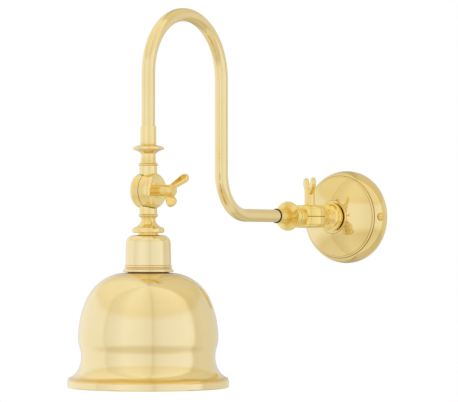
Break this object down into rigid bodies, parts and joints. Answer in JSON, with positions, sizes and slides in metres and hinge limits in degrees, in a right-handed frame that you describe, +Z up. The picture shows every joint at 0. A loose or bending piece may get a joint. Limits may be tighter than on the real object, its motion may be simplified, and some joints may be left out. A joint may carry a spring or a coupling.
{
  "type": "swivel-arm wall light",
  "caption": "Brass swan-neck wall light: round wall plate, swinging arm with an arched tube, tilting swivel with wing screw, and a bell shade on a cup.",
  "frame": {"origin": "middle of the wall bracket's back face, between its two screw slots, on the wall", "axes": "wall is the plane Y=0 and the light stands out towards -Y; +Z is up; the arm lies in the plane X=0"},
  "size_m": [0.1548, 0.4319, 0.3683],
  "materials": {
    "brass": "satin lacquered, spun and polished",
    "bright_brass": "polished",
    "plain_brass": "turned, unlacquered",
    "steel": "zinc plated",
    "plated_shell": "nickel plated",
    "fibre": "vulcanised fibre",
    "nylon": "moulded nylon",
    "phenolic": "moulded, black",
    "ceramic": "glazed ceramic",
    "opal_glass": "opal",
    "sheath": "flexible sheath",
    "live_core": "brown insulation",
    "neutral_core": "blue insulation",
    "earth_core": "green and yellow insulation"
  },
  "bodies": {
    "wall": {"wall_bracket": "steel", "cable_bush": "nylon", "wall_plate": "brass", "plate_screw_right": "bright_brass", "plate_screw_left": "bright_brass", "hub_washer": "steel", "hub_nut": "plain_brass", "hub_nipple": "plain_brass", "hub_seat_ring": "bright_brass", "wall_collar": "brass", "swing_friction_ring": "fibre", "swing_stop_pin": "steel", "swing_thrust_washer": "bright_brass", "terminal_block": "nylon", "terminal_sleeve_1": "plain_brass", "terminal_sleeve_2": "plain_brass", "terminal_sleeve_3": "plain_brass", "block_screw": "steel", "earth_screw": "steel", "wall_flex": "sheath", "live_core": "live_core", "neutral_core": "neutral_core", "earth_core": "earth_core"},
    "arm": {"arm_inner_collar": "brass", "arm_tube": "brass", "arm_flex": "sheath", "arm_outer_collar": "brass", "tilt_friction_ring": "fibre", "tilt_stop_pin": "steel", "tilt_thrust_washer": "bright_brass"},
    "swing_wing": {"swing_wing_screw": "bright_brass"},
    "shade_head": {"shade_collar": "brass", "shade_seat_ring": "bright_brass", "shade_nipple": "plain_brass", "shade_nut": "plain_brass", "shade_cup": "brass", "shade": "brass", "lampholder_cap": "phenolic", "lampholder_skirt": "phenolic", "lampholder_insert": "ceramic", "screw_shell": "plated_shell", "centre_contact": "plain_brass", "shade_ring": "phenolic", "bulb_button": "plain_brass", "bulb_cap": "plated_shell", "bulb_glass": "opal_glass", "shade_flex": "sheath"},
    "tilt_wing": {"tilt_wing_screw": "bright_brass"}
  },
  "joints": [
    {"name": "arm_swing", "type": "hinge", "parent": "wall", "child": "arm", "pos_m": [0, -0.0754, 0], "axis": [0, 0, 1], "range_deg": [-80, 80]},
    {"name": "swing_wing_turn", "type": "hinge", "parent": "arm", "child": "swing_wing", "pos_m": [0, -0.0754, 0], "axis": [0, 0, 1], "range_deg": [0, 180]},
    {"name": "shade_tilt", "type": "hinge", "parent": "arm", "child": "shade_head", "pos_m": [0, -0.3545, 0.022], "axis": [1, 0, 0], "range_deg": [-90, 45]},
    {"name": "tilt_wing_turn", "type": "hinge", "parent": "shade_head", "child": "tilt_wing", "pos_m": [0, -0.3545, 0.022], "axis": [1, 0, 0], "range_deg": [0, 180]}
  ]
}
